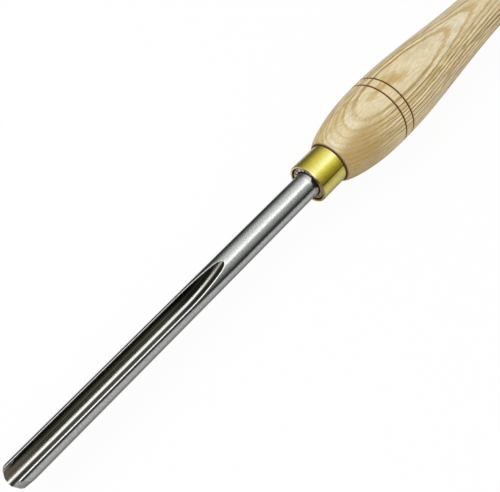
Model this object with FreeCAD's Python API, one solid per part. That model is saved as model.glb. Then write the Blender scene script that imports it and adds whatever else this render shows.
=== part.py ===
import FreeCAD, Part
import math
import os

# Bowl gouge: a fluted steel bar, bonded into a turned ash handle with a brass ferrule
# Lengths are millimetres and angles are degrees
# The bar's axis is X, x = 0 is the front face of the ferrule and the flute opens to +Z
# The nose points to -X and the butt of the handle to +X

# Bar of the blade
bar_diameter = 16.0
blade_reach = 230.5

# Shank, the end of the bar inside the handle
shank_depth = 60.0
shank_end_chamfer = 1.2

# Flute, milled along the bar from the nose and run out by the round cutter
flute_length = 157.0
flute_mouth_width = 9.8
flute_floor_radius = 2.9
flute_floor_drop = 2.2
flute_cutter_radius = 59.0
lip_round = 0.6

# Bevel that makes the cutting edge, a cone turned slightly in plan
bevel_angle = 62.0
bevel_skew = 1.0

# Rounded-over step behind the bevel, a longer cone about the same line
roll_angle = 42.0
roll_run = 2.1

# Relief ground on the heel of the bevel, deepest under the bar
heel_angle = 5.4
heel_pitch = 2.25
heel_rise = 0.45
heel_run = 8.8

# Ferrule, a length of brass tube
ferrule_diameter = 26.4
ferrule_wall = 1.3
ferrule_length = 20.0
ferrule_rim_round = 0.45

# Handle, turned ash
handle_end = 430.0
swell_diameter = 45.7
waist_diameter = 30.0
tail_diameter = 37.4
tail_dome_length = 32.0
shoulder_step = 0.3
tenon_recess = 1.0
tenon_chamfer = 0.6
tenon_clearance = 0.05

# Bore for the shank, with the cone that a twist drill leaves
bond_thickness = 0.35
bore_end_gap = 2.0
drill_point_angle = 118.0
bore_mouth_chamfer = 0.5

# Two decorative rings burnt into the handle
ring_places = (67.3, 74.5)
ring_width = 1.3
ring_depth = 0.65

# Cured bond
bond_setback = 0.8

# Reach of a cut past the face that it opens
overrun = 1.0

# Places that follow from the sizes above
bar_radius = bar_diameter / 2
nose_x = -blade_reach
ferrule_radius = ferrule_diameter / 2
swell_radius = swell_diameter / 2
waist_radius = waist_diameter / 2
tail_radius = tail_diameter / 2
shoulder_radius = ferrule_radius + shoulder_step
tenon_radius = ferrule_radius - ferrule_wall - tenon_clearance
bore_radius = bar_radius + bond_thickness
bore_end = shank_depth + bore_end_gap
tail_x = handle_end - tail_dome_length

# Handle outline between the shoulder and the tail: shares of that length,
# and shares of the step from the first to the second radius of the stretch
swell_place_share = 0.143
waist_place_share = 0.545
rise_shares = ((0.037, 0.16), (0.093, 0.31), (0.26, 0.591), (0.5, 0.843))
fall_shares = ((0.12, 0.05), (0.25, 0.215), (0.46, 0.565), (0.67, 0.84))
tail_shares = ((0.5, 0.48),)
dome_steps = 6


def point(x, z):
    return FreeCAD.Vector(x, 0, z)


def turned(edges):
    # Solid of revolution about X from the edges of a closed outline in the XZ plane
    face = Part.Face(Part.Wire(Part.__sortEdges__(edges)))
    return face.revolve(point(0, 0), FreeCAD.Vector(1, 0, 0), 360)


def polyline(points):
    return [Part.LineSegment(a, b).toShape() for a, b in zip(points, points[1:])]


def turned_polygon(points):
    return turned(polyline(points + points[:1]))


def blank_bar():
    # Round bar from past the nose to the chamfered end of the shank
    start = nose_x - overrun
    return turned_polygon([
        point(start, 0),
        point(start, bar_radius),
        point(shank_depth - shank_end_chamfer, bar_radius),
        point(shank_depth, bar_radius - shank_end_chamfer),
        point(shank_depth, 0),
    ])


def flute_profile(x):
    # Round floor with two straight walls that flare to the mouth width at the bar's surface
    half_mouth = flute_mouth_width / 2
    mouth_z = math.sqrt(bar_radius ** 2 - half_mouth ** 2)
    floor_centre_z = flute_floor_radius - flute_floor_drop
    mouth_rise = mouth_z - floor_centre_z
    mouth_distance = math.hypot(half_mouth, mouth_rise)
    flare = math.atan2(half_mouth, mouth_rise) - math.asin(flute_floor_radius / mouth_distance)
    tangent_y = flute_floor_radius * math.cos(flare)
    tangent_z = floor_centre_z - flute_floor_radius * math.sin(flare)
    top_z = bar_radius + overrun
    top_y = half_mouth + (top_z - mouth_z) * math.tan(flare)
    left_wall = FreeCAD.Vector(x, tangent_y, tangent_z)
    right_wall = FreeCAD.Vector(x, -tangent_y, tangent_z)
    left_top = FreeCAD.Vector(x, top_y, top_z)
    right_top = FreeCAD.Vector(x, -top_y, top_z)
    floor = Part.Arc(left_wall, FreeCAD.Vector(x, 0, -flute_floor_drop), right_wall).toShape()
    return Part.Face(Part.Wire([floor] + polyline([right_wall, right_top, left_top, left_wall])))


def flute_tool():
    # The profile drawn along the bar, then swung up and out about the cutter's axis
    cutter_z = flute_cutter_radius - flute_floor_drop
    exit_angle = math.acos((cutter_z - bar_radius) / flute_cutter_radius)
    cutter_x = nose_x + flute_length - flute_cutter_radius * math.sin(exit_angle)
    profile = flute_profile(cutter_x)
    channel = profile.extrude(FreeCAD.Vector(nose_x - overrun - overrun - cutter_x, 0, 0))
    swing = math.degrees(exit_angle) * 1.5
    run_out = profile.revolve(point(cutter_x, cutter_z), FreeCAD.Vector(0, -1, 0), swing)
    return channel.fuse(run_out)


def mouth_edges(shape):
    # Edges that the flute cut into the bar's round surface
    found = []
    for edge in shape.Edges:
        samples = edge.discretize(5)
        on_surface = all(abs(math.hypot(p.y, p.z) - bar_radius) < bar_radius / 1000 for p in samples)
        near_mouth = all(abs(p.y) < flute_mouth_width / 2 + lip_round and p.z > 0 for p in samples)
        at_start = all(p.x < nose_x - overrun / 2 for p in samples)
        if on_surface and near_mouth and not at_start:
            found.append(edge)
    return found


def grind(small_radius, angle):
    # What a grind takes off: all that lies outside a cone whose radius at x = 0 is small_radius
    slope = math.tan(math.radians(angle))
    apex_x = -small_radius / slope
    wide_radius = bar_diameter + overrun
    wide_x = (wide_radius - small_radius) / slope
    return turned_polygon([
        point(apex_x - overrun, 0),
        point(apex_x - overrun, wide_radius),
        point(wide_x, wide_radius),
        point(apex_x, 0),
    ])


def blade():
    bar = blank_bar().cut(flute_tool())
    bar = bar.makeFillet(lip_round, mouth_edges(bar))
    bevel = grind(flute_floor_drop, bevel_angle)
    roll = grind(flute_floor_drop + roll_run * math.tan(math.radians(bevel_angle)), roll_angle)
    roll.translate(point(roll_run, 0))
    for cone in (bevel, roll):
        cone.rotate(point(0, 0), FreeCAD.Vector(0, 0, 1), bevel_skew)
        cone.translate(point(nose_x, 0))
    heel = grind(bar_radius, heel_angle)
    heel.rotate(point(0, 0), FreeCAD.Vector(0, 1, 0), heel_pitch)
    heel.translate(point(nose_x + heel_run, heel_rise))
    return bar.cut(bevel).cut(roll).cut(heel)


def ferrule():
    inner_radius = ferrule_radius - ferrule_wall
    tube = turned_polygon([
        point(0, inner_radius),
        point(0, ferrule_radius),
        point(ferrule_length, ferrule_radius),
        point(ferrule_length, inner_radius),
    ])
    rims = [e for e in tube.Edges if len(e.Vertexes) == 1 and e.BoundBox.ZMax > ferrule_radius - overrun / 100]
    return tube.makeFillet(ferrule_rim_round, rims)


def between(shares, x0, x1, r0, r1):
    return [point(x0 + (x1 - x0) * a, r0 + (r1 - r0) * b) for a, b in shares]


def handle_curve():
    # Smooth outline from the shoulder over the swell and the waist to the domed butt
    length = tail_x - ferrule_length
    swell_x = ferrule_length + length * swell_place_share
    waist_x = ferrule_length + length * waist_place_share
    points = [point(ferrule_length, shoulder_radius)]
    points += between(rise_shares, ferrule_length, swell_x, shoulder_radius, swell_radius)
    points.append(point(swell_x, swell_radius))
    points += between(fall_shares, swell_x, waist_x, swell_radius, waist_radius)
    points.append(point(waist_x, waist_radius))
    points += between(tail_shares, waist_x, tail_x, waist_radius, tail_radius)
    for step in range(dome_steps + 1):
        turn = math.pi / 2 * step / dome_steps
        points.append(point(tail_x + tail_dome_length * math.sin(turn), tail_radius * math.cos(turn)))
    curve = Part.BSplineCurve()
    curve.interpolate(points)
    return curve


def handle():
    curve = handle_curve()
    outline = polyline([
        point(handle_end, 0),
        point(tenon_recess, 0),
        point(tenon_recess, tenon_radius - tenon_chamfer),
        point(tenon_recess + tenon_chamfer, tenon_radius),
        point(ferrule_length, tenon_radius),
        point(ferrule_length, shoulder_radius),
    ])
    body = turned(outline + [curve.toShape()])
    point_depth = bore_radius / math.tan(math.radians(drill_point_angle / 2))
    bore = turned_polygon([
        point(tenon_recess - overrun, 0),
        point(tenon_recess - overrun, bore_radius + bore_mouth_chamfer + overrun),
        point(tenon_recess + bore_mouth_chamfer, bore_radius),
        point(bore_end, bore_radius),
        point(bore_end + point_depth, 0),
    ])
    body = body.cut(bore)
    for x in ring_places:
        body = body.cut(ring_tool(curve, x))
    return body


def ring_tool(curve, x):
    # V-shaped groove, set to its depth below the surface at that place
    line = Part.LineSegment(point(x, waist_radius), point(x, swell_radius * 2))
    radius = curve.intersectCC(line)[0].Z
    flank = ring_width / 2 / ring_depth
    floor = radius - ring_depth
    top = radius + overrun
    reach = (top - floor) * flank
    return turned_polygon([point(x, floor), point(x - reach, top), point(x + reach, top)])


def bond():
    return turned_polygon([
        point(tenon_recess + bond_setback, bar_radius),
        point(tenon_recess + bond_setback, bore_radius),
        point(shank_depth - shank_end_chamfer, bore_radius),
        point(shank_depth - shank_end_chamfer, bar_radius),
    ])


nodes = {
    "fluted_blade": blade(),
    "brass_ferrule": ferrule(),
    "ash_handle": handle(),
    "shank_bond": bond(),
}

os.makedirs("parts", exist_ok=True)
for name, shape in nodes.items():
    print(name, shape.isValid(), len(shape.Solids), round(shape.Volume, 1))
    shape.exportStep(os.path.join("parts", name + ".step"))
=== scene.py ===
import math

import bmesh
import bpy
import numpy as np
from mathutils import Matrix, Vector


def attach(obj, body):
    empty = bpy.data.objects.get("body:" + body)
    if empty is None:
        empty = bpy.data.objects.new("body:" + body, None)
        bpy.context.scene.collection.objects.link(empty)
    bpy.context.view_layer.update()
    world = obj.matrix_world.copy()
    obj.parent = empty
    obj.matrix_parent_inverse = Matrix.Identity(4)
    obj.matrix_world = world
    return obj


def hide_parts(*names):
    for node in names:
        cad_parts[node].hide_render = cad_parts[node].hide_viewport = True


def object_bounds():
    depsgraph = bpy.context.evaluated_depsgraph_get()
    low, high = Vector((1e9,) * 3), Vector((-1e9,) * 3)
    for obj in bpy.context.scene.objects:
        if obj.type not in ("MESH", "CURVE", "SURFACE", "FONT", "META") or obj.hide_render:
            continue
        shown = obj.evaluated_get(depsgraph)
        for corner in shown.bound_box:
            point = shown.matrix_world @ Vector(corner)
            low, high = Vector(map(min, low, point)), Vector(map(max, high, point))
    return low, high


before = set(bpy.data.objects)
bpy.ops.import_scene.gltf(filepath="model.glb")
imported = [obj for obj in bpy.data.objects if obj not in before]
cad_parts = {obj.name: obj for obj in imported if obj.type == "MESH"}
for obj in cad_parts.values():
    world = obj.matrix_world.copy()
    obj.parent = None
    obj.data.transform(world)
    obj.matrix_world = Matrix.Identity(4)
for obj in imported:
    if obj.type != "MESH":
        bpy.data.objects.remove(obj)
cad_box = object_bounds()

# ---------------------------------------------------------------- Handle
# One length of ash, turned on a lathe and lacquered. The front is cut down to a tenon for the
# ferrule and drilled for the shank, and a taut wire burnt the two dark rings into the swell.
mm = 0.001
shoulder_x = 20.0
shoulder_radius = 13.5
swell_x = 74.054
swell_radius = 22.85
waist_x = 226.01
waist_radius = 15.0
tail_x = 398.0
tail_radius = 18.7
dome_length = 32.0
dome_steps = 6

# Marks between those places: shares of the way along, and of the step from one radius to the next
rise_shares = ((0.037, 0.16), (0.093, 0.31), (0.26, 0.591), (0.5, 0.843))
fall_shares = ((0.12, 0.05), (0.25, 0.215), (0.46, 0.565), (0.67, 0.84))
tail_shares = ((0.5, 0.48),)
skin_step = 1.4

tenon_face = 1.0
tenon_radius = 11.85
tenon_chamfer = 0.6
bore_radius = 8.35
bore_mouth = 0.5
bore_middle = 30.0
bore_end = 62.0
drill_half_angle = 59.0
drill_cone = bore_radius / math.tan(math.radians(drill_half_angle))

ring_places = (67.3, 74.5)
ring_depth = 0.63
ring_margin = 0.1
# Section of a burnt ring: millimetres across it, and shares of its depth
ring_section = ((-0.95, 0), (-0.7, 0.02), (-0.6, 0.1), (-0.34, 0.5), (-0.12, 0.93), (0, 1),
                (0.12, 0.93), (0.34, 0.5), (0.6, 0.1), (0.7, 0.02), (0.95, 0))

handle_facets = 176
handle_crease = 24


def smooth_curve(points, step):
    """Points a step apart on the cubic spline through these, its ends not knotted."""
    points = np.array(points)
    chords = np.hypot(*np.diff(points, axis=0).T)
    knots = np.concatenate(([0], np.cumsum(chords)))
    count = len(knots)
    system = np.zeros((count, count))
    right = np.zeros((count, 2))
    for i in range(1, count - 1):
        before, after = chords[i - 1], chords[i]
        system[i, i - 1:i + 2] = before, 2 * (before + after), after
        right[i] = 6 * ((points[i + 1] - points[i]) / after - (points[i] - points[i - 1]) / before)
    system[0, :3] = chords[1], -(chords[0] + chords[1]), chords[0]
    system[-1, -3:] = chords[-1], -(chords[-2] + chords[-1]), chords[-2]
    bend = np.linalg.solve(system, right)
    places = np.linspace(0, knots[-1], int(knots[-1] / step) + 1)
    left = np.clip(np.searchsorted(knots, places, side="right") - 1, 0, count - 2)
    width = chords[left][:, None]
    a = (knots[left + 1] - places)[:, None] / width
    b = 1 - a
    return (a * points[left] + b * points[left + 1]
            + ((a ** 3 - a) * bend[left] + (b ** 3 - b) * bend[left + 1]) * width ** 2 / 6)


def between(shares, x0, x1, r0, r1):
    """Marks at these shares of the way from one place and radius to the next."""
    return [(x0 + (x1 - x0) * a, r0 + (r1 - r0) * b) for a, b in shares]


def handle_outline():
    """From the bottom of the bore, over the tenon and the swell, to the middle of the butt."""
    marks = [(shoulder_x, shoulder_radius)]
    marks += between(rise_shares, shoulder_x, swell_x, shoulder_radius, swell_radius)
    marks.append((swell_x, swell_radius))
    marks += between(fall_shares, swell_x, waist_x, swell_radius, waist_radius)
    marks.append((waist_x, waist_radius))
    marks += between(tail_shares, waist_x, tail_x, waist_radius, tail_radius)
    for step in range(dome_steps + 1):
        turn = math.pi / 2 * step / dome_steps
        marks.append((tail_x + dome_length * math.sin(turn), tail_radius * math.cos(turn)))
    skin = smooth_curve(marks, skin_step)
    skin[-1] = marks[-1]
    keep = np.ones(len(skin), bool)
    rings = []
    for place in ring_places:
        reach = ring_section[-1][0]
        keep &= abs(skin[:, 0] - place) > reach + ring_margin
        for offset, share in ring_section:
            radius = np.interp(place + offset, skin[:, 0], skin[:, 1])
            rings.append((place + offset, radius - ring_depth * share))
    skin = sorted([tuple(p) for p in skin[keep]] + rings)
    return [
        (bore_end + drill_cone, 0),
        (bore_end, bore_radius),
        (bore_middle, bore_radius),
        (tenon_face + bore_mouth, bore_radius),
        (tenon_face, bore_radius + bore_mouth),
        (tenon_face, tenon_radius - tenon_chamfer),
        (tenon_face + tenon_chamfer, tenon_radius),
        (shoulder_x, tenon_radius),
    ] + skin


def fill(tree, made, inputs):
    """Links what comes from another node, and sets plain values on the node's own sockets."""
    for socket, value in inputs.items():
        if isinstance(value, bpy.types.NodeSocket):
            tree.links.new(value, made.inputs[socket])
        else:
            made.inputs[socket].default_value = value


def node(tree, kind, inputs=None, **settings):
    """A new node with its settings made and its sockets filled."""
    made = tree.nodes.new(kind)
    for name, value in settings.items():
        setattr(made, name, value)
    fill(tree, made, inputs or {})
    return made


def reckon(tree, operation, *values):
    """The output of a Math node on one to three values or sockets."""
    return node(tree, "ShaderNodeMath", dict(enumerate(values)), operation=operation).outputs[0]


def times(tree, *values):
    product, *others = values
    for value in others:
        product = reckon(tree, "MULTIPLY", product, value)
    return product


def plus(tree, first, second):
    return reckon(tree, "ADD", first, second)


def less(tree, first, second):
    return reckon(tree, "SUBTRACT", first, second)


def add_part(tree, base, value, part):
    """A base with a part of a value added to it."""
    return reckon(tree, "MULTIPLY_ADD", value, part, base)


pole_weld = 1e-6


def lathe_tree():
    """Turns an outline, an edge chain in the XZ plane, about X into a closed skin."""
    tree = bpy.data.node_groups.new("Lathe", "GeometryNodeTree")
    for name, kind in (("Outline", "Geometry"), ("Facets", "Int"), ("Crease", "Float"),
                       ("Finish", "Material")):
        tree.interface.new_socket(name, in_out="INPUT", socket_type="NodeSocket" + kind)
    tree.interface.new_socket("Skin", in_out="OUTPUT", socket_type="NodeSocketGeometry")
    given = node(tree, "NodeGroupInput").outputs
    # A flat grid with a column for each mark of the outline and a row for each facet
    count = node(tree, "GeometryNodeAttributeDomainSize", {"Geometry": given["Outline"]})
    rows = plus(tree, given["Facets"], 1.0)
    grid = node(tree, "GeometryNodeMeshGrid", {
        "Vertices X": count.outputs["Point Count"], "Vertices Y": rows})
    index = node(tree, "GeometryNodeInputIndex").outputs[0]
    column = reckon(tree, "FLOOR", reckon(tree, "DIVIDE", plus(tree, index, 0.5), rows))
    row = less(tree, index, times(tree, column, rows))
    turn = times(tree, reckon(tree, "DIVIDE", row, given["Facets"]), 2 * math.pi)
    # Each column takes its mark's x and radius, and each row is a turn about X
    here = node(tree, "GeometryNodeInputPosition").outputs[0]
    sample = node(tree, "GeometryNodeSampleIndex", {
        "Geometry": given["Outline"], "Value": here, "Index": column},
        data_type="FLOAT_VECTOR", domain="POINT")
    mark = node(tree, "ShaderNodeSeparateXYZ", {0: sample.outputs[0]}).outputs
    place = node(tree, "ShaderNodeCombineXYZ", {
        "X": mark["X"],
        "Y": times(tree, mark["Z"], reckon(tree, "SINE", turn)),
        "Z": times(tree, mark["Z"], reckon(tree, "COSINE", turn))})
    shaped = node(tree, "GeometryNodeSetPosition", {
        "Geometry": grid.outputs["Mesh"], "Position": place.outputs[0]})
    merged = node(tree, "GeometryNodeMergeByDistance", {
        "Geometry": shaped.outputs[0], "Distance": pole_weld})
    round_faces = node(tree, "GeometryNodeSetShadeSmooth", {
        "Geometry": merged.outputs[0], "Shade Smooth": True}, domain="FACE")
    bend = node(tree, "GeometryNodeInputMeshEdgeAngle").outputs["Unsigned Angle"]
    sharp = reckon(tree, "GREATER_THAN", bend, given["Crease"])
    creased = node(tree, "GeometryNodeSetShadeSmooth", {
        "Geometry": round_faces.outputs[0], "Selection": sharp, "Shade Smooth": False},
        domain="EDGE")
    real = node(tree, "GeometryNodeRealizeInstances", {0: creased.outputs[0]})
    done = node(tree, "GeometryNodeSetMaterial", {
        "Geometry": real.outputs[0], "Material": given["Finish"]})
    node(tree, "NodeGroupOutput", {"Skin": done.outputs[0]})
    return tree


def place_in_scene(name, mesh):
    """An object of this mesh, lamp or camera at the origin."""
    piece = bpy.data.objects.new(name, mesh)
    bpy.context.scene.collection.objects.link(piece)
    return piece


def turned(name, outline, facets, crease, finish):
    """A piece turned from its outline of (x, radius) marks in millimetres."""
    marks = bpy.data.meshes.new(name + "_outline")
    marks.from_pydata([(x * mm, 0, r * mm) for x, r in outline],
                      [(i, i + 1) for i in range(len(outline) - 1)], [])
    blank = place_in_scene(name + "_blank", marks)
    lathe = blank.modifiers.new("Lathe", "NODES")
    lathe.node_group = lathe_nodes
    sockets = {s.name: s.identifier for s in lathe_nodes.interface.items_tree}
    lathe[sockets["Facets"]] = facets
    lathe[sockets["Crease"]] = math.radians(crease)
    lathe[sockets["Finish"]] = finish
    ready = bpy.context.evaluated_depsgraph_get()
    skin = bpy.data.meshes.new_from_object(blank.evaluated_get(ready))
    skin.name = name
    blank.modifiers.remove(lathe)
    bpy.data.objects.remove(blank)
    bpy.data.meshes.remove(marks)
    return place_in_scene(name, skin)


def bare_finish(name):
    """A material with no nodes in it yet."""
    finish = bpy.data.materials.new(name)
    finish.use_nodes = True
    finish.node_tree.nodes.clear()
    return finish, finish.node_tree


def new_finish(name):
    """A material with its shader, and the piece's own coordinates in millimetres."""
    finish, tree = bare_finish(name)
    shader = node(tree, "ShaderNodeBsdfPrincipled")
    node(tree, "ShaderNodeOutputMaterial", {"Surface": shader.outputs[0]})
    own = node(tree, "ShaderNodeTexCoord").outputs["Object"]
    place = node(tree, "ShaderNodeVectorMath", {0: own, 3: 1 / mm}, operation="SCALE").outputs[0]
    return finish, tree, shader, place


def apart(tree, place):
    """The X, Y and Z of a place."""
    return node(tree, "ShaderNodeSeparateXYZ", {0: place}).outputs


def grain(tree, place, cells, shift=0.0, detail=2.0, roughness=0.6):
    """Noise from 0 to 1, with so many cells a millimetre along and across the piece."""
    scaled = node(tree, "ShaderNodeMapping", {
        "Vector": place, "Scale": cells, "Location": (shift, shift, shift)}).outputs[0]
    return node(tree, "ShaderNodeTexNoise", {
        "Vector": scaled, "Scale": 1.0, "Detail": detail, "Roughness": roughness}).outputs["Fac"]


def ease(tree, value, low, high, to_low=0.0, to_high=1.0):
    """A value moved smoothly from one range to another and held at its ends."""
    return node(tree, "ShaderNodeMapRange", {
        "Value": value, "From Min": low, "From Max": high, "To Min": to_low, "To Max": to_high},
        interpolation_type="SMOOTHSTEP").outputs["Result"]


def fade(tree, value, start, gone):
    """1 before the start, and eased down to 0 where it is gone."""
    return ease(tree, value, start, gone, 1.0, 0.0)


def stretch(tree, value, start, full, fading, gone):
    """1 from full to fading, and 0 before the start and once gone."""
    return times(tree, ease(tree, value, start, full), fade(tree, value, fading, gone))


def swayed(tree, base, noise, spread):
    """A base moved up and down by a noise, by this much from end to end."""
    return add_part(tree, base, less(tree, noise, 0.5), spread)


def blend(tree, share, first, second):
    """The second colour laid over the first by a share."""
    first, second = ((*c, 1) if isinstance(c, tuple) else c for c in (first, second))
    inputs = {0: share, 6: first, 7: second}
    return node(tree, "ShaderNodeMix", inputs, data_type="RGBA").outputs[2]


def toned(tree, value, colour, tones):
    """A colour that takes on one tone after another, each from its start to where it is full."""
    for start, full, tone in tones:
        colour = blend(tree, ease(tree, value, start, full), colour, tone)
    return colour


def bumps(tree, height, depth, strength):
    """Normals of a surface whose height runs over this depth in millimetres."""
    return node(tree, "ShaderNodeBump", {
        "Height": height, "Distance": depth * mm, "Strength": strength}).outputs[0]


# Heights over the axis, at the swell, where each year's ring starts, and the even step below
ring_levels = (23.6, 20.4, 18.6, 17.1, 15.7, 14.2, 12.4, 10.3, 7.9, 5.6, 3.3)
ring_step = 2.3
ring_tilt = 0.017
ring_bow = 0.001
ring_start = 0.12
level_low = -25.0
level_high = 25.0
before_first = 0.9

# Dark caps where a ring only just breaks the skin: x, y, half length, half width and strength
cap_patches = ((79.0, 1.0, 6.5, 4.4, 0.9), (85.0, -2.4, 6.0, 2.2, 0.6), (70.0, 2.6, 4.5, 2.6, 0.8),
               (61.0, 1.6, 5.0, 2.4, 0.6))

# Colours over the heart of the board, and out on its flanks
heart_aside = 1.6
pale_heart = (0.83, 0.75, 0.53)
pale_flank = (0.98, 0.84, 0.51)
plain_heart = (0.76, 0.64, 0.38)
plain_flank = (0.86, 0.69, 0.36)
spring_heart = (0.58, 0.4, 0.14)
spring_flank = (0.24, 0.13, 0.03)
cap_brown = (0.54, 0.36, 0.1)
pore_brown = (0.26, 0.13, 0.04)
tick_brown = (0.4, 0.28, 0.13)
hair_brown = (0.36, 0.23, 0.07)
shaded_ash = (0.42, 0.27, 0.075)
lit_ash = (1.0, 0.9, 0.62)

# A dark seam near the top: it falls by this slope and passes this height at this x
seam_slope = 0.064
seam_x = 180.0
seam_height = 7.8
seam_brown = (0.17, 0.065, 0.012)

# The cut face of the tenon, and the painted shade in the gaps at its bore and at its upper rim
end_depth = 1.62
end_bright = (0.85, 0.74, 0.56)
end_dull = (0.45, 0.36, 0.23)
end_pores = (0.13, 0.085, 0.035)
end_gap_shade = (0.03, 0.015, 0.01)
up_y = -0.353
up_z = 0.935

# Burnt rings, and the painted shade of the dark line behind the ferrule
char_black = (0.06, 0.014, 0.0)
scorch_brown = (0.36, 0.15, 0.02)
shoulder_shade = (0.06, 0.02, 0.006)


def years_from_level(tree, level):
    """Growth rings counted down from the top of the swell, some years wider than others."""
    span = level_high - level_low
    curve = node(tree, "ShaderNodeFloatCurve", {
        "Value": reckon(tree, "DIVIDE", less(tree, level, level_low), span)})
    most = len(ring_levels) - 1 + (ring_levels[-1] - level_low) / ring_step
    marks = [(level_low, most)] + [(z, n) for n, z in reversed(list(enumerate(ring_levels)))]
    marks.append((level_high, -before_first))
    points = curve.mapping.curves[0].points
    for i, (z, n) in enumerate(marks):
        spot = ((z - level_low) / span, (n + 1) / (most + 1))
        if i in (0, 1):
            points[i].location = spot
        else:
            points.new(*spot)
    curve.mapping.update()
    return reckon(tree, "MULTIPLY_ADD", curve.outputs[0], most + 1, -1.0)


def ring_years(tree, at, aside, sway, fray):
    """The rings lie almost flat, bowed a little about the heart and never quite straight."""
    level = add_part(tree, at["Z"], at["X"], ring_tilt)
    level = less(tree, level, ring_tilt * swell_x)
    level = add_part(tree, level, times(tree, aside, aside), ring_bow)
    level = swayed(tree, level, sway, 1.6)
    level = swayed(tree, level, fray, 0.9)
    return plus(tree, years_from_level(tree, level), ring_start)


def year_colours(tree, at, years, flank, soft, fibres):
    """Pale summer wood that differs from year to year, and the golden spring wood between."""
    year = reckon(tree, "FLOOR", years)
    luck = node(tree, "ShaderNodeTexWhiteNoise", {"W": year}, noise_dimensions="1D").outputs["Value"]
    tone = plus(tree, times(tree, luck, 0.55), times(tree, fibres, 0.45))
    pale = blend(tree, flank, pale_heart, pale_flank)
    plain = blend(tree, flank, plain_heart, plain_flank)
    summer = blend(tree, ease(tree, tone, 0.2, 0.8), pale, plain)
    gold = blend(tree, flank, spring_heart, spring_flank)
    spring = times(tree, soft, ease(tree, fibres, 0.25, 0.7, 0.65, 1.0),
                   ease(tree, at["X"], 28.0, 72.0, 0.4, 1.0))
    return blend(tree, times(tree, spring, 0.95), summer, gold)


def with_caps(tree, at, wood, fray, ticks):
    """Dark frayed patches on the top of the swell, where the rings close."""
    for x, y, half_length, half_width, strength in cap_patches:
        along = reckon(tree, "DIVIDE", less(tree, at["X"], x), half_length)
        over = reckon(tree, "DIVIDE", less(tree, at["Y"], y), half_width)
        off = plus(tree, times(tree, along, along), times(tree, over, over))
        off = swayed(tree, off, fray, 2.6)
        off = swayed(tree, off, ticks, 5.0)
        cap = times(tree, ease(tree, off, 0.6, 1.5, strength, 0.0), ease(tree, at["Z"], 0.0, 2.0))
        wood = blend(tree, cap, wood, cap_brown)
    return wood


def with_fine_grain(tree, place, at, wood, flank, pores, ticks):
    """Open pores, short ticks, and long hairs that show more behind the rings."""
    wood = blend(tree, times(tree, pores, 0.7), wood, pore_brown)
    wood = blend(tree, ease(tree, ticks, 0.32, 0.62, 0.42, 0.0), wood, tick_brown)
    hairs = grain(tree, place, (0.015, 0.8, 0.8), shift=23.0)
    hairs = times(tree, ease(tree, hairs, 0.5, 0.6), add_part(tree, 0.12, flank, 0.3),
                  ease(tree, at["X"], 90.0, 135.0, 1.0, 1.8))
    return blend(tree, hairs, wood, hair_brown)


def with_side_tones(tree, at, wood, sway):
    """Darker on both sides behind the ferrule, and paler high on the far side of the waist."""
    near_side = fade(tree, plus(tree, at["Y"], times(tree, sway, 3.0)), -7.0, 1.0)
    near_shade = times(tree, fade(tree, at["X"], 36.0, 66.0), near_side)
    wood = blend(tree, times(tree, near_shade, 0.75), wood, shaded_ash)
    far_side = ease(tree, at["Y"], 2.0, 9.0)
    far_shade = times(tree, ease(tree, at["X"], 36.0, 62.0, 0.3, 0.0), far_side)
    wood = blend(tree, far_shade, wood, shaded_ash)
    far_top = ease(tree, at["Y"], 4.0, 11.0)
    glow = times(tree, ease(tree, at["X"], 110.0, 140.0, 0.0, 0.25), far_top)
    return blend(tree, glow, wood, lit_ash)


def with_seam(tree, at, wood, fray):
    """One dark seam of spring wood, near the top behind the swell."""
    off = add_part(tree, at["Z"], less(tree, at["X"], seam_x), seam_slope)
    off = reckon(tree, "ABSOLUTE", less(tree, off, seam_height))
    seam = fade(tree, plus(tree, off, times(tree, fray, 0.6)), 0.5, 1.2)
    run = stretch(tree, at["X"], 158.0, 180.0, 200.0, 218.0)
    seam = times(tree, seam, times(tree, run, ease(tree, at["Y"], 0.0, -2.0)))
    return blend(tree, times(tree, seam, 0.9), wood, seam_brown)


def end_grain(tree, place, at):
    """Cut across the grain: open pores, darker on one side, with painted shade at the bore and the
    upper rim.
    """
    flecks = grain(tree, place, (0.5, 0.75, 0.75), shift=2.0, detail=3.0, roughness=0.7)
    face = blend(tree, ease(tree, at["Y"], 2.0, -3.0), end_bright, end_dull)
    face = blend(tree, ease(tree, flecks, 0.45, 0.56), face, end_pores)
    across = node(tree, "ShaderNodeCombineXYZ", {"Y": at["Y"], "Z": at["Z"]}).outputs[0]
    out = node(tree, "ShaderNodeVectorMath", {0: across}, operation="LENGTH").outputs["Value"]
    high = add_part(tree, times(tree, at["Z"], up_z), at["Y"], up_y)
    upper_out = add_part(tree, out, ease(tree, high, 4.0, 8.0), 0.7)
    # Painted shade: black rings in the gaps at the bore and under the upper rim
    bore_gap_shade = fade(tree, out, 8.5, 8.9)
    rim_gap_shade = ease(tree, upper_out, 10.8, 11.1)
    return blend(tree, reckon(tree, "MAXIMUM", bore_gap_shade, rim_gap_shade), face, end_gap_shade)


def with_burnt_rings(tree, at, wood, fibres):
    """Black where the wire ran, and scorched brown for a millimetre on each side."""
    char = 0.0
    for x in ring_places:
        off = reckon(tree, "ABSOLUTE", less(tree, at["X"], x))
        edge = plus(tree, off, times(tree, fibres, 0.25))
        char = plus(tree, char, fade(tree, edge, 0.38, 0.68))
        wood = blend(tree, ease(tree, edge, 0.6, 1.3, 0.55, 0.0), wood, scorch_brown)
    return blend(tree, char, wood, char_black), char


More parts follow.
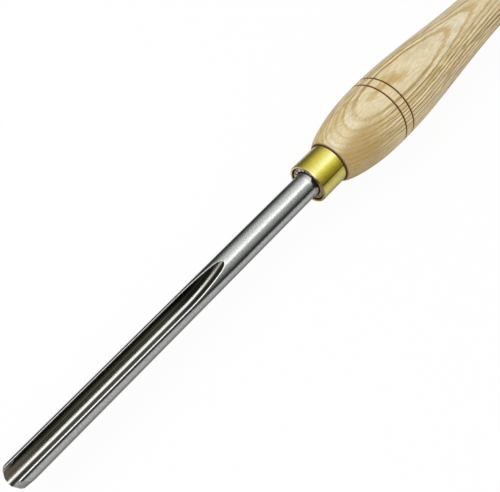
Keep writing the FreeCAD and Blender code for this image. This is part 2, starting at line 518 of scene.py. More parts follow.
def ash_finish():
    """Growth rings nearly flat across the handle, cut into cathedrals on top, under lacquer."""
    finish, tree, shader, place = new_finish("lacquered_ash")
    at = apart(tree, place)
    sway = grain(tree, place, (0.011, 0.045, 0.045), shift=3.0, roughness=0.5)
    fray = grain(tree, place, (0.045, 0.9, 0.9), shift=11.0, detail=3.0)
    fibres = grain(tree, place, (0.04, 0.9, 0.9), shift=5.0, detail=3.0)
    threads = grain(tree, place, (0.1, 4.5, 4.5), shift=7.0)
    ticks = grain(tree, place, (0.16, 2.4, 2.4), shift=17.0)

    aside = plus(tree, at["Y"], heart_aside)
    flank = ease(tree, reckon(tree, "ABSOLUTE", aside), 4.0, 12.0)
    years = ring_years(tree, at, aside, sway, fray)
    soft = stretch(tree, reckon(tree, "FRACT", years), 0.0, 0.07, 0.24, 0.46)
    pores = times(tree, ease(tree, threads, 0.56, 0.66), plus(tree, times(tree, soft, 0.9), 0.1))

    wood = year_colours(tree, at, years, flank, soft, fibres)
    wood = with_caps(tree, at, wood, fray, ticks)
    wood = with_fine_grain(tree, place, at, wood, flank, pores, ticks)
    wood = with_side_tones(tree, at, wood, sway)
    wood = with_seam(tree, at, wood, fray)
    end_cut = fade(tree, at["X"], end_depth, end_depth + 0.1)
    wood = blend(tree, end_cut, wood, end_grain(tree, place, at))
    # Painted shade: dark over the tenon and where the shoulder meets the ferrule
    line = stretch(tree, at["X"], 1.7, 2.0, 20.2, 21.4)
    wood = blend(tree, times(tree, line, 0.95), wood, shoulder_shade)
    wood, char = with_burnt_rings(tree, at, wood, fibres)

    rough = plus(tree, 0.36, times(tree, pores, 0.2))
    rough = plus(tree, rough, times(tree, char, 0.25))
    height = less(tree, times(tree, fibres, 0.4), pores)
    # Burnt and cut wood, and the painted shade behind the ferrule, have no lacquer on them
    bare = reckon(tree, "MAXIMUM", reckon(tree, "MAXIMUM", char, line), end_cut)
    fill(tree, shader, {
        "Base Color": wood,
        "Roughness": rough,
        "Normal": bumps(tree, height, 0.05, 0.5),
        "Specular IOR Level": ease(tree, bare, 0.0, 1.0, 0.4, 0.1),
        "Coat Weight": ease(tree, bare, 0.0, 1.0, 0.25, 0.0),
        "Coat Roughness": 0.3})
    return finish


lathe_nodes = lathe_tree()
handle = turned("ash_handle_body", handle_outline(), handle_facets, handle_crease, ash_finish())
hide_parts("ash_handle")
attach(handle, "root")

# ---------------------------------------------------------------- Ferrule
# A length of brass tube, its two rims rounded over and polished on the lathe, pressed on the
# tenon up to the handle's shoulder. It stops the wood from splitting round the shank.
ferrule_radius = 13.2
ferrule_wall = 1.3
rim_round = 0.45
inner_round = 0.15
corner_steps = 6
ferrule_facets = 144
ferrule_crease = 40

warm_brass = (0.78, 0.67, 0.05)
brown_brass = (0.73, 0.6, 0.035)
highlight_brass = (0.62, 0.59, 0.21)
rim_highlight = (0.95, 0.9, 0.62)
rim_lower_shade = (0.42, 0.3, 0.09)
reflection_line_brown = (0.3, 0.14, 0.01)
streak_brown = (0.36, 0.26, 0.03)
grit_brown = (0.36, 0.28, 0.04)
stain_brown = (0.3, 0.17, 0.05)
# Painted light from the top of the tube outwards, tones that lighten and darken the brass as light and
# reflections fall: millimetres aside where each starts and is full
painted_light_tones = ((6.5, 10.5, (0.98, 0.8, 0.07)),
              (-1.8, -4.0, (0.78, 0.73, 0.18)),
              (-4.1, -5.2, (1.0, 0.84, 0.05)),
              (-9.0, -10.5, (0.99, 0.85, 0.17)))
# A painted reflection: a dark brown line along one side of the tube
reflection_line_y = -10.35


def rounded(x, r, way_x, way_r, size):
    """Points round a corner of an outline, from the edge along r to the edge along x."""
    for step in range(corner_steps + 1):
        turn = math.pi / 2 * step / corner_steps
        yield (x + way_x * size * (1 - math.sin(turn)), r + way_r * size * (1 - math.cos(turn)))


def ferrule_outline():
    inner = ferrule_radius - ferrule_wall
    front_inner = list(rounded(0, inner, 1, 1, inner_round))
    front_outer = list(rounded(0, ferrule_radius, 1, -1, rim_round))
    rear_outer = list(rounded(shoulder_x, ferrule_radius, -1, -1, rim_round))
    rear_inner = list(rounded(shoulder_x, inner, -1, 1, inner_round))
    marks = front_inner + front_outer[::-1] + rear_outer + rear_inner[::-1]
    return marks + marks[:1]


def brass_finish():
    """Polished brass with fine turning lines, a few rubs and a breath of brown tarnish, and painted
    highlight, shade and reflections round the tube.
    """
    finish, tree, shader, place = new_finish("polished_brass")
    at = apart(tree, place)
    lines = grain(tree, place, (9.0, 0.1, 0.1), shift=4.0)
    patches = grain(tree, place, (0.09, 0.16, 0.16), shift=8.0, detail=3.0)
    specks = grain(tree, place, (1.4, 1.4, 1.4), shift=6.0)
    streaks = grain(tree, place, (1.5, 0.2, 0.2), shift=14.0)
    grit = grain(tree, place, (1.4, 1.4, 1.4), shift=31.0)

    side = plus(tree, at["Y"], times(tree, patches, 1.5))
    gold = blend(tree, ease(tree, patches, 0.35, 0.7), warm_brass, brown_brass)
    # Painted highlight: pale lemon over the top of the tube, then the painted light tones by side
    metal = blend(tree, ease(tree, side, -0.5, 3.0), highlight_brass, gold)
    metal = toned(tree, side, metal, painted_light_tones)
    # Painted highlight on the rounded rims, turning to painted shade on one side
    rims = reckon(tree, "MAXIMUM", fade(tree, at["X"], 0.3, 0.6), ease(tree, at["X"], 19.4, 19.7))
    rim = blend(tree, ease(tree, side, -4.0, -8.0), rim_highlight, rim_lower_shade)
    metal = blend(tree, times(tree, rims, 0.7), metal, rim)
    # Painted reflection: a dark line along one side of the tube
    dark_line_off = reckon(tree, "ABSOLUTE", plus(tree, at["Y"], -reflection_line_y))
    metal = blend(tree, ease(tree, dark_line_off, 0.15, 0.45, 0.85, 0.0), metal, reflection_line_brown)
    metal = blend(tree, ease(tree, streaks, 0.35, 0.65, 0.14, 0.0), metal, streak_brown)
    metal = blend(tree, ease(tree, grit, 0.35, 0.65, 0.2, 0.0), metal, grit_brown)
    stain = times(tree, ease(tree, specks, 0.64, 0.74), 0.4)
    metal = blend(tree, stain, metal, stain_brown)

    fill(tree, shader, {
        "Base Color": metal,
        "Metallic": 1.0,
        "Roughness": plus(tree, 0.3, times(tree, patches, 0.12)),
        "Normal": bumps(tree, lines, 0.006, 0.5),
        "Coat Weight": 1.0,
        "Coat Roughness": 0.12})
    return finish


ferrule = turned("brass_ferrule_tube", ferrule_outline(), ferrule_facets, ferrule_crease,
                 brass_finish())
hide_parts("brass_ferrule")
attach(ferrule, "root")

# ---------------------------------------------------------------- Bond
# Cured adhesive that fills the thin gap between the bar and its bore in the handle. Only its
# dark front edge shows, as a ring round the bar.
bar_radius = 8.0
bond_front = 1.8
bond_rear = 58.8
bond_facets = 144
bond_crease = 30
bond_black = (0.01, 0.008, 0.006)
bond_brown = (0.05, 0.035, 0.02)


def bond_finish():
    """Dark, lumpy and only half shiny."""
    finish, tree, shader, place = new_finish("cured_bond")
    lumps = grain(tree, place, (2.5, 2.5, 2.5), detail=3.0)
    fill(tree, shader, {
        "Base Color": blend(tree, lumps, bond_black, bond_brown),
        "Roughness": ease(tree, lumps, 0.3, 0.7, 0.45, 0.7),
        "Normal": bumps(tree, lumps, 0.05, 0.6)})
    return finish


bond_outline = [(bond_front, bar_radius), (bond_front, bore_radius), (bond_rear, bore_radius),
                (bond_rear, bar_radius), (bond_front, bar_radius)]
bond = turned("shank_bond_ring", bond_outline, bond_facets, bond_crease, bond_finish())
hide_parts("shank_bond")
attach(bond, "root")

# ---------------------------------------------------------------- Blade
# One round bar of tool steel. A round cutter milled the flute along it and lifted out at the
# end, the lips were rounded over, and the nose was ground to a bevel with its heel relieved.
nose_x = -230.5
flute_length = 157.0
half_mouth = 4.9
floor_radius = 2.9
floor_drop = 2.2
cutter_radius = 59.0
lip_round = 0.6
shank_end = 60.0
shank_chamfer = 1.2
bevel_slope = math.tan(math.radians(62))
bevel_skew = math.radians(1)
roll_slope = math.tan(math.radians(42))
roll_run = 2.1
heel_slope = math.tan(math.radians(5.4))
heel_pitch = math.radians(2.25)
heel_rise = 0.45
heel_run = 8.8

cutter_z = cutter_radius - floor_drop
cutter_x = nose_x + flute_length - math.sqrt(cutter_radius ** 2 - (cutter_z - bar_radius) ** 2)
floor_z = floor_radius - floor_drop
mouth_z = math.sqrt(bar_radius ** 2 - half_mouth ** 2)
flare = (math.atan2(half_mouth, mouth_z - floor_z)
         - math.asin(floor_radius / math.hypot(half_mouth, mouth_z - floor_z)))
floor_arc = floor_radius * (math.pi / 2 - flare)

# Cells of the mesh: across the flute and round the bar, round a lip, out over each ground
# face, and along the flute and its run-out
cells = 96
lip_cells = 10
nose_cells = 8
flute_cells = 24
run_out_cells = 64
nose_stretch = 13.5
shank_rings = (-50.0, -25.0, 0.0, 25.0)
ground_search = (nose_x - 40.0, nose_x + 60.0)
halvings = 50
least_reach = 1e-9
just_short = 1 - 1e-7

# Points closer than these are merged: anywhere, and along the slit where the lips meet
weld_gap = 0.002
slit_gap = 0.012
sliver = 0.0005


def profile(along):
    """Point of the flute's section at this distance along it from the middle of the floor,
    and the way into the steel there."""
    side = math.copysign(1, along)
    reach = abs(along)
    turn = min(reach, floor_arc) / floor_radius
    out = np.array([side * math.sin(turn), -math.cos(turn)])
    spot = np.array([0, floor_z]) + floor_radius * out
    if reach > floor_arc:
        spot = spot + (reach - floor_arc) * np.array([side * math.sin(flare), math.cos(flare)])
    return spot, out


def swung(spot, swing):
    """A point of the section, carried round the cutter's axis by this angle."""
    arm = cutter_z - spot[1]
    return np.array([cutter_x + arm * math.sin(swing), spot[0], cutter_z - arm * math.cos(swing)])


def turning_place(low, high, short_of):
    """The place between two others up to which short_of is true, found by halving."""
    for _ in range(halvings):
        middle = (low + high) / 2
        if short_of(middle):
            low = middle
        else:
            high = middle
    return (low + high) / 2


def lip_reach(swing):
    """Distance along the section where the rounded lip begins."""
    def short_of(along):
        spot, out = profile(along)
        centre = swung(spot + lip_round * out, swing)
        return math.hypot(centre[1], centre[2]) < bar_radius - lip_round
    return turning_place(0.0, 3 * bar_radius, short_of)


def bar_ring(swing):
    """The four stretches of the bar's outline at a swing: flute, lip, outside and lip."""
    reach = lip_reach(swing)
    flute = [swung(profile(reach * (1 - 2 * i / cells))[0], swing) for i in range(cells + 1)]
    lips = []
    for side in (-1, 1):
        spot, out = profile(side * max(reach, least_reach))
        centre = swung(spot + lip_round * out, swing)
        first = (swung(spot, swing) - centre) / lip_round
        last = np.array([0, centre[1], centre[2]]) / math.hypot(centre[1], centre[2])
        whole = math.acos(np.clip(first @ last, -1, 1))
        arc = []
        for i in range(lip_cells + 1):
            part = whole * i / lip_cells
            way = (math.sin(whole - part) * first + math.sin(part) * last) / math.sin(whole)
            arc.append(centre + lip_round * way)
        lips.append(arc)
    edge = lips[1][-1]
    start = math.atan2(edge[1], edge[2])
    outside = []
    for i in range(cells + 1):
        turn = start + (2 * math.pi - 2 * start) * i / cells
        outside.append(np.array([edge[0], bar_radius * math.sin(turn), bar_radius * math.cos(turn)]))
    return flute, lips[0], outside, lips[1]


def from_nose(x, y, z):
    """Distance behind the nose along the bevel's own line, and out from that line."""
    dx = x - nose_x
    along = dx * math.cos(bevel_skew) + y * math.sin(bevel_skew)
    across = y * math.cos(bevel_skew) - dx * math.sin(bevel_skew)
    return along, math.hypot(across, z)


def past_bevel(x, y, z):
    """How far inside the bevel's cone a point is; the two below say it of the other grinds."""
    along, out = from_nose(x, y, z)
    return floor_drop + bevel_slope * along - out


def past_roll(x, y, z):
    along, out = from_nose(x, y, z)
    return floor_drop + bevel_slope * roll_run + roll_slope * (along - roll_run) - out


def past_heel(x, y, z):
    dx, dz = x - nose_x - heel_run, z - heel_rise
    along = dx * math.cos(heel_pitch) - dz * math.sin(heel_pitch)
    across = dx * math.sin(heel_pitch) + dz * math.cos(heel_pitch)
    return bar_radius + heel_slope * along - math.hypot(y, across)


grinds = (past_bevel, past_roll, past_heel)


def ground_to(y, z, ground):
    """Where along the bar a ground face crosses the line through this point of its section."""
    return turning_place(*ground_search, lambda x: ground(x, y, z) < 0)


def nose_point(y, z):
    return np.array([max(ground_to(y, z, ground) for ground in grinds), y, z])


def takes_over(inner, outer, ground):
    """Share of the way out from the flute at which this grind goes deeper than those before."""
    earlier = grinds[:grinds.index(ground)]

    def shallower(share):
        y, z = inner + share * (outer - inner)
        return ground_to(y, z, ground) <= max(ground_to(y, z, other) for other in earlier)
    return 1.0 if shallower(1.0) else turning_place(0.0, 1.0, shallower)


# The blade's six finishes, in the order of its material slots
bar_steel, flute_steel, bevel_steel, heel_steel, bright_lip, shaded_lip = range(6)


def blade_mesh(finishes):
    """The whole bar as one skin: fluted bar, run-out, shank and ground end."""
    points, faces, kinds, sharp = [], [], [], set()

    def put(spots):
        points.extend(spots)
        return list(range(len(points) - len(spots), len(points)))

    def span(first, second, kind):
        for i in range(len(first) - 1):
            faces.append((first[i], first[i + 1], second[i + 1], second[i]))
            kinds.append(kind)

    def crease(line):
        sharp.update(tuple(sorted(pair)) for pair in zip(line, line[1:]))

    # Rings of the fluted bar, from its ground edge to where the cutter starts to lift
    section = bar_ring(0.0)
    milled = cutter_x - nose_x - nose_stretch
    stations = [nose_x + nose_stretch + milled * i / flute_cells for i in range(flute_cells)]
    rings = [[[nose_point(p[1], p[2]) for p in part] for part in section]]
    rings += [[[np.array([x, p[1], p[2]]) for p in part] for part in section] for x in stations]
    # Rings of the run-out, closer together towards its end
    last_swing = math.acos((cutter_z - bar_radius + lip_round) / (cutter_radius + lip_round))
    for i in range(run_out_cells + 1):
        swing = last_swing * (1 - (1 - i / run_out_cells) ** 2)
        rings.append(bar_ring(swing * just_short))
    numbered = [[put(part) for part in ring] for ring in rings]
    for one, two in zip(numbered, numbered[1:]):
        span(one[0], two[0], flute_steel)
        span(one[1], two[1], bright_lip)
        span(two[2], one[2], bar_steel)
        span(two[3], one[3], shaded_lip)
    for part in numbered[0]:
        crease(part)

    # The round shank, from the end of the run-out to its chamfered end
    behind = numbered[-1][2]
    circles = [(x, bar_radius) for x in shank_rings + (shank_end - shank_chamfer,)]
    for x, radius in circles + [(shank_end, bar_radius - shank_chamfer)]:
        circle = put([np.array([x, radius * math.sin(2 * math.pi * i / cells),
                                radius * math.cos(2 * math.pi * i / cells)])
                      for i in range(cells + 1)])
        span(circle, behind, bar_steel)
        behind = circle
        if x > shank_end - 2 * shank_chamfer:
            crease(circle)
    centre = put([np.array([shank_end, 0, 0])])[0]
    for i in range(cells):
        faces.append((behind[i], centre, behind[i + 1]))
        kinds.append(bar_steel)

    # The ground end: bevel, step and heel, each in its own rows from the flute out to the skin
    inner = [p[1:] for p in section[0]]
    outer = [p[1:] for p in section[2]]
    columns = []
    for i in range(cells + 1):
        if i in (0, cells):
            arc = [p[1:] for p in section[3 if i == 0 else 1]]
            rows = [arc[0]] * nose_cells + arc
            rows += [arc[-1]] * (3 * nose_cells + 1 - len(rows))
        else:
            relief = takes_over(inner[i], outer[i], past_heel)
            step = min(takes_over(inner[i], outer[i], past_roll), relief)
            shares = np.concatenate((np.linspace(0, step, nose_cells + 1),
                                     np.linspace(step, relief, nose_cells + 1)[1:],
                                     np.linspace(relief, 1, nose_cells + 1)[1:]))
            rows = [inner[i] + s * (outer[i] - inner[i]) for s in shares]
        columns.append(put([nose_point(*row) for row in rows]))
    for one, two in zip(columns, columns[1:]):
        for row in range(3 * nose_cells):
            faces.append((one[row], one[row + 1], two[row + 1], two[row]))
            kinds.append(bevel_steel if row < 2 * nose_cells else heel_steel)
    crease(columns[0])
    crease(columns[-1])
    for row in range(0, 3 * nose_cells + 1, nose_cells):
        crease([column[row] for column in columns])

    mesh = bpy.data.meshes.new("fluted_blade_bar")
    mesh.from_pydata([tuple(p * mm) for p in points], [], faces)
    for finish in finishes:
        mesh.materials.append(finish)
    for face, kind in zip(mesh.polygons, kinds):
        face.material_index = kind
        face.use_smooth = True
    for line in mesh.edges:
        line.use_edge_sharp = tuple(sorted(line.vertices)) in sharp
    return mesh


def closed_up(mesh):
    """Merges doubled points, closes the slit left where the lips meet, drops faces with no
    area and turns every face outwards."""
    work = bmesh.new()
    work.from_mesh(mesh)
    bmesh.ops.remove_doubles(work, verts=work.verts, dist=weld_gap * mm)
    slit = [spot for spot in work.verts if spot.is_boundary]
    bmesh.ops.remove_doubles(work, verts=slit, dist=slit_gap * mm)
    bmesh.ops.dissolve_degenerate(work, edges=work.edges, dist=sliver * mm)
    bmesh.ops.recalc_face_normals(work, faces=work.faces)
    work.to_mesh(mesh)
    work.free()


pit_grey = (0.12, 0.11, 0.1)
frost_part = 0.55
cloud_warmth = (0.94, 0.94, 0.92)
# The last stretch of the bar before the ferrule is a plain grey painted with the bar's highlight and
# shade, so that it doesn't mirror the brass, with painted shadow right in the corner
mouth_start = -3.7
mouth_full = -2.9
mouth_dark = (0.08, 0.08, 0.08)
mouth_tones = ((4.4, -1.6, (0.98, 0.98, 0.97)),
               (-2.0, -5.6, (0.04, 0.04, 0.035)),
               (-6.2, -7.0, (0.5, 0.48, 0.43)))
mouth_shadow = (0.03, 0.027, 0.022)


def with_mouth(tree, at, metal):
    """The painted grey at the ferrule's mouth, with its painted highlight, shade and shadow, and how
    far it has taken over from the metal.
    """
    painted = ease(tree, at["X"], mouth_start, mouth_full)
    grey = toned(tree, at["Y"], mouth_dark, mouth_tones)
    metal = blend(tree, painted, metal, grey)
    # Painted shadow: a dark wedge on one side of the bar right at the mouth
    wedge = times(tree, ease(tree, at["Y"], -1.6, -3.6), ease(tree, at["Y"], -7.3, -6.6))
    corner = add_part(tree, at["X"], wedge, 2.0)
    return blend(tree, ease(tree, corner, 0.1, 0.9), metal, mouth_shadow), painted


def steel_finish(name, shade, rough, lines, depth, pits):
    """Tool steel: lines this deep, so many a millimetre, follow how it was ground or milled,
    and pits break up its shine."""
    finish, tree, shader, place = new_finish(name)
    at = apart(tree, place)
    marks = grain(tree, place, lines, shift=4.0)
    specks = grain(tree, place, (3.0, 3.0, 3.0), shift=9.0, roughness=0.7)
    cloud = grain(tree, place, (0.04, 0.12, 0.12), shift=2.0, roughness=0.5)
    frost = grain(tree, place, (1.9, 1.9, 1.9), shift=21.0, detail=1.0, roughness=0.5)

    warm = tuple(s * t for s, t in zip(shade, cloud_warmth))
    dark = tuple(s * frost_part for s in shade)
    metal = blend(tree, ease(tree, cloud, 0.3, 0.7), shade, warm)
    metal = blend(tree, times(tree, ease(tree, specks, 0.58, 0.7), pits), metal, pit_grey)
    metal = blend(tree, ease(tree, frost, 0.35, 0.65, 0.85, 0.0), metal, dark)
    metal, painted = with_mouth(tree, at, metal)

    height = plus(tree, marks, times(tree, specks, 0.5))
    fill(tree, shader, {
        "Base Color": metal,
        "Metallic": ease(tree, painted, 0.0, 1.0, 1.0, 0.15),
        "Specular IOR Level": ease(tree, painted, 0.0, 1.0, 0.5, 0.12),
        "Roughness": plus(tree, rough, times(tree, specks, 0.1)),
        "Normal": bumps(tree, height, depth, 0.5)})
    return finish


# Colours in the flute: its walls and their painted shade, the scale left by hardening, and the track
# that shavings rub, painted bright as a highlight
wall_dark = (0.38, 0.38, 0.32)
wall_pale = (0.56, 0.55, 0.47)
scale_brown = (0.32, 0.27, 0.205)
right_wall_shade = (0.03, 0.03, 0.027)
run_out_shade = (0.02, 0.02, 0.018)
track_edge = (0.46, 0.455, 0.44)
track_highlight = (1.0, 0.995, 0.98)
track_end = (0.22, 0.19, 0.15)
scratch_dark = (0.08, 0.075, 0.065)


def flute_finish():
    """Grey walls, browner towards the nose from hardening and painted darker as shade on one side and
    in the run-out, and a track along the floor that the shavings rub, painted bright as a highlight."""
    finish, tree, shader, place = new_finish("milled_flute")
    at = apart(tree, place)
    streaks = grain(tree, place, (0.03, 3.0, 3.0), shift=4.0, detail=3.0)
    cloud = grain(tree, place, (0.03, 0.3, 0.3), shift=2.0, roughness=0.5)

    # The track lies a little to one side, and narrows where the floor rises
    off = plus(tree, at["Y"], times(tree, less(tree, streaks, 0.5), 0.25))
    brim = add_part(tree, off, ease(tree, at["X"], -112.0, -90.0), 0.4)
    track = times(tree, ease(tree, off, 0.36, 0.72), fade(tree, brim, 1.75, 2.15))
    # The brown stops short of the left lip, but for the last stretch before the nose
    brown = times(tree, ease(tree, at["X"], -198.0, -228.0), ease(tree, at["Y"], -1.0, 0.5))
    kept = reckon(tree, "MAXIMUM", ease(tree, at["Y"], 4.2, 3.2), ease(tree, at["X"], -221.0, -229.0))
    brown = times(tree, brown, kept)

    wall = blend(tree, cloud, wall_dark, wall_pale)
    wall = blend(tree, brown, wall, scale_brown)
    # Painted shade: the right wall, and then the run-out, darkened
    wall = blend(tree, ease(tree, at["Y"], 0.8, -0.2, 0.0, 0.92), wall, right_wall_shade)
    wall = blend(tree, ease(tree, at["X"], -120.0, -94.0, 0.0, 0.6), wall, run_out_shade)
    # Painted highlight: the track is bright, and dims towards the run-out's end
    wear_and_highlight = blend(tree, ease(tree, off, 0.5, 1.3), track_edge, track_highlight)
    wear_and_highlight = blend(tree, ease(tree, at["X"], -98.0, -76.0, 0.0, 0.88), wear_and_highlight, track_end)
    metal = blend(tree, track, wall, wear_and_highlight)
    metal = blend(tree, ease(tree, streaks, 0.5, 0.75, 0.0, 0.1), metal, scratch_dark)

    scale = times(tree, brown, less(tree, 1.0, track))
    fill(tree, shader, {
        "Base Color": metal,
        "Metallic": ease(tree, scale, 0.0, 1.0, 1.0, 0.45),
        "Roughness": plus(tree, 0.1, times(tree, track, 0.28)),
        "Normal": bumps(tree, streaks, 0.001, 0.4)})
    return finish


blade_finishes = [
    steel_finish("ground_bar", shade=(0.7, 0.72, 0.7), rough=0.1,
                 lines=(3.0, 0.5, 0.5), depth=0.004, pits=0.3),
    flute_finish(),
    steel_finish("ground_bevel", shade=(0.74, 0.73, 0.71), rough=0.3,
                 lines=(4.0, 1.2, 4.0), depth=0.02, pits=0.5),
    steel_finish("ground_heel", shade=(0.56, 0.55, 0.53), rough=0.3,
                 lines=(5.0, 1.2, 1.2), depth=0.012, pits=0.15),
    # The lips: one painted bright as a highlight, the other painted darker as shade
    steel_finish("highlit_lip", shade=(1.0, 1.0, 0.99), rough=0.12,
                 lines=(0.5, 3.0, 3.0), depth=0.001, pits=0.0),
    steel_finish("shaded_lip", shade=(0.5, 0.5, 0.49), rough=0.12,
                 lines=(0.5, 3.0, 3.0), depth=0.001, pits=0.1),
]
blade_skin = blade_mesh(blade_finishes)
closed_up(blade_skin)
blade = place_in_scene("fluted_blade_bar", blade_skin)
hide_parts("fluted_blade")
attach(blade, "root")

# ---------------------------------------------------------------- Studio
# A pale floor under the swell of the handle, white all round, a soft sheet of light over the
# tool that only its shine sees, and large lamps above.
floor_height = cad_box[0][2]
floor_half = 2


def level_sheet(name, half_x, half_y, height):
    """A flat sheet over the middle of the scene, facing up."""
    corners = [(-half_x, -half_y, height), (half_x, -half_y, height),
               (half_x, half_y, height), (-half_x, half_y, height)]
    mesh = bpy.data.meshes.new(name)
    mesh.from_pydata(corners, [], [(0, 1, 2, 3)])
    return place_in_scene(name, mesh)


def floor_finish():
    """White to the eye, a pale matt to lamps, and almost unseen in a shine."""
    finish, tree = bare_finish("pale_floor")
    ray = node(tree, "ShaderNodeLightPath").outputs
    matt = node(tree, "ShaderNodeBsdfDiffuse", {"Color": (0.9, 0.9, 0.9, 1)})
    white = node(tree, "ShaderNodeEmission", {"Strength": 1.0})
    looked_at = plus(tree, ray["Is Camera Ray"], ray["Is Transmission Ray"])
    seen = plus(tree, times(tree, looked_at, 0.95), times(tree, ray["Is Glossy Ray"], 0.05))
    both = node(tree, "ShaderNodeMixShader", {
        0: reckon(tree, "MINIMUM", seen, 1.0), 1: matt.outputs[0], 2: white.outputs[0]})
    node(tree, "ShaderNodeOutputMaterial", {"Surface": both.outputs[0]})
    finish.cycles.emission_sampling = "NONE"
    return finish


floor = level_sheet("floor", floor_half, floor_half, floor_height)
floor.data.materials.append(floor_finish())

# The sheet is half a drum over the tool; its light is given by degrees round from the top
tent_radius = 0.3
tent_half = 0.9
tent_cells = 60
tent_light = ((-90, 0.07), (-84, 0.035), (-76, 0.03), (-68, 0.09), (-60, 0.2), (-52, 0.3), (-44, 0.42),
              (-36, 0.5), (-28, 0.56), (-20, 0.85), (-12, 1.7), (-4, 1.95), (3, 1.65), (11, 1.35),
              (19, 1.12), (27, 0.97), (43, 0.8), (51, 0.66), (59, 0.47), (67, 0.32), (75, 0.22),
              (90, 0.1))


def graded(ramp, marks):
    """Greys on a colour ramp, each at its place from 0 to 1."""
    stops = ramp.color_ramp.elements
    for i, (place, light) in enumerate(marks):
        stop = stops[i] if i < 2 else stops.new(1.0)
        stop.position = place
        stop.color = (light, light, light, 1)


def only_in_shine(item):
    """Seen by glossy rays and by nothing else."""
    item.visible_camera = False
    item.visible_diffuse = False
    item.visible_shadow = False
    item.visible_transmission = False


def glow_finish(name):
    """A material for a light, with the sheet's own coordinates in metres."""
    finish, tree = bare_finish(name)
    own = node(tree, "ShaderNodeTexCoord").outputs["Object"]
    finish.cycles.emission_sampling = "NONE"
    return finish, tree, apart(tree, own)


def set_glow(tree, colour, strength):
    glow = node(tree, "ShaderNodeEmission", {"Color": colour, "Strength": strength})
    node(tree, "ShaderNodeOutputMaterial", {"Surface": glow.outputs[0]})


def tent_finish():
    """Light by the angle round the bar, from the floor on one side to the floor on the other."""
    finish, tree, at = glow_finish("soft_sheet")
    angle = reckon(tree, "ARCTAN2", at["Y"], at["Z"])
    share = plus(tree, reckon(tree, "DIVIDE", angle, math.pi), 0.5)
    ramp = node(tree, "ShaderNodeValToRGB", {"Fac": share})
    top = max(light for _, light in tent_light)
    graded(ramp, [(degrees / 180 + 0.5, light / top) for degrees, light in tent_light])
    # More light overhead and at the low hem towards the nose, and more behind the swell
    degrees = times(tree, angle, 180 / math.pi)
    nose_end = ease(tree, at["X"], 0.02, -0.04)
    crown = ease(tree, reckon(tree, "ABSOLUTE", degrees), 14.0, 26.0, 0.45, 0.0)
    hem = ease(tree, degrees, -83.0, -87.0, 0.0, 10.0)
    lift = reckon(tree, "MULTIPLY_ADD", nose_end, crown, 1.0)
    ends = plus(tree, nose_end, ease(tree, at["X"], 0.19, 0.23))
    lift = add_part(tree, lift, ends, hem)
    lift = plus(tree, lift, ease(tree, at["X"], 0.15, 0.19, 0.0, 0.28))
    set_glow(tree, ramp.outputs["Color"], times(tree, lift, top))
    return finish


def tent_mesh():
    """Half a drum, from the floor on one side over the tool to the floor on the other."""
    mesh = bpy.data.meshes.new("soft_sheet")
    spots, faces = [], []
    for i in range(tent_cells + 1):
        turn = math.pi * i / tent_cells - math.pi / 2
        y, z = tent_radius * math.sin(turn), tent_radius * math.cos(turn)
        spots += [(-tent_half, y, z), (tent_half, y, z)]
    for i in range(tent_cells):
        faces.append((2 * i, 2 * i + 1, 2 * i + 3, 2 * i + 2))
    mesh.from_pydata(spots, [], faces)
    return mesh


tent = place_in_scene("soft_sheet", tent_mesh())
tent.data.materials.append(tent_finish())
only_in_shine(tent)

# The card lies on the floor and glows only in the shine; its light is given by millimetres across from
# the bar, the dip beside the bar a painted shadow of the tool
card_light = ((-300, 0.72), (-75, 0.68), (-53, 0.66), (-41, 0.62), (-33, 0.54), (-27, 0.43),
              (-22, 0.33), (-18, 0.25), (-14, 0.28), (-11, 0.35), (0, 0.55), (30, 0.75), (44, 0.3),
              (60, 0.04), (300, 0.04))
card_half = 300.0
card_reach = 1.2
card_lift = 0.0004
card_dark = (0.02, 0.02, 0.02)


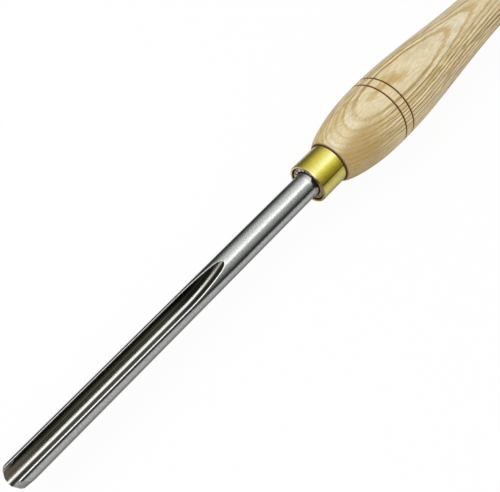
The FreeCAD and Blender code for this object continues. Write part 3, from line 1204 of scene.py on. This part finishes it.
def card_finish():
    """Grey on one side of the tool, with a painted shadow of the tool near it, and dark beyond a soft
    edge on the other, with a white window beside the ferrule and a painted gloom beside the swell."""
    finish, tree, at = glow_finish("lower_card")
    share = reckon(tree, "MULTIPLY_ADD", at["Y"], 0.5 / (card_half * mm), 0.5)
    ramp = node(tree, "ShaderNodeValToRGB", {"Fac": share})
    graded(ramp, [(y / card_half / 2 + 0.5, light) for y, light in card_light])
    window = times(tree, ease(tree, at["X"], 0.015, 0.035), ease(tree, at["Y"], 0.03, 0.042),
                   ease(tree, at["Y"], 0.06, 0.1, 0.55, 0.0))
    shown = blend(tree, window, ramp.outputs["Color"], (1.0, 1.0, 1.0))
    gloom = times(tree, ease(tree, at["X"], 0.02, 0.1), ease(tree, at["Y"], -0.13, -0.25, 0.0, 0.85),
                  fade(tree, at["X"], 0.195, 0.22))
    shown = blend(tree, gloom, shown, card_dark)
    set_glow(tree, shown, 1.0)
    return finish


card = level_sheet("lower_card", tent_half, card_reach, floor_height + card_lift)
card.data.materials.append(card_finish())
only_in_shine(card)

# The room is white to the eye and in a shine, and half as bright to what is matt
world = bpy.data.worlds.new("white_room")
bpy.context.scene.world = world
world.use_nodes = True
sky = world.node_tree
sky.nodes.clear()
ray = node(sky, "ShaderNodeLightPath").outputs
looked_at = plus(sky, plus(sky, ray["Is Camera Ray"], ray["Is Glossy Ray"]),
                 ray["Is Transmission Ray"])
bright = reckon(sky, "MINIMUM", looked_at, 1.0)
level = plus(sky, times(sky, bright, 0.5), 0.5)
white = node(sky, "ShaderNodeBackground", {"Color": (1, 1, 1, 1), "Strength": level})
node(sky, "ShaderNodeOutputWorld", {0: white.outputs[0]})


def lamp(name, place, size, watts):
    """A large square lamp, aimed at the ferrule, that does not show in a shine."""
    data = bpy.data.lights.new(name, "AREA")
    data.shape = "SQUARE"
    data.size = size
    data.energy = watts
    item = place_in_scene(name, data)
    item.location = place
    item.rotation_euler = (-Vector(place)).to_track_quat("-Z", "Y").to_euler()
    item.visible_glossy = False
    item.visible_camera = False


lamp("key_lamp", (-0.3, 0.35, 0.8), size=0.7, watts=4.6)
lamp("fill_lamp", (0.1, -0.7, 0.7), size=0.8, watts=2.2)

camera_data = bpy.data.cameras.new("camera")
camera_data.lens = 61.2
camera_data.sensor_width = 36.0
camera = place_in_scene("camera", camera_data)
camera_place = (-0.232611, -0.156938, 0.415212)
right = Vector((0.65476, -0.75584, 0.0))
up = Vector((0.65646, 0.56866, 0.49565))
back = Vector((-0.37463, -0.32456, 0.86852))
turned_view = Matrix((right, up, back)).transposed().to_4x4()
camera.matrix_world = Matrix.Translation(camera_place) @ turned_view
bpy.context.scene.camera = camera
bpy.context.scene.view_settings.view_transform = "Standard"
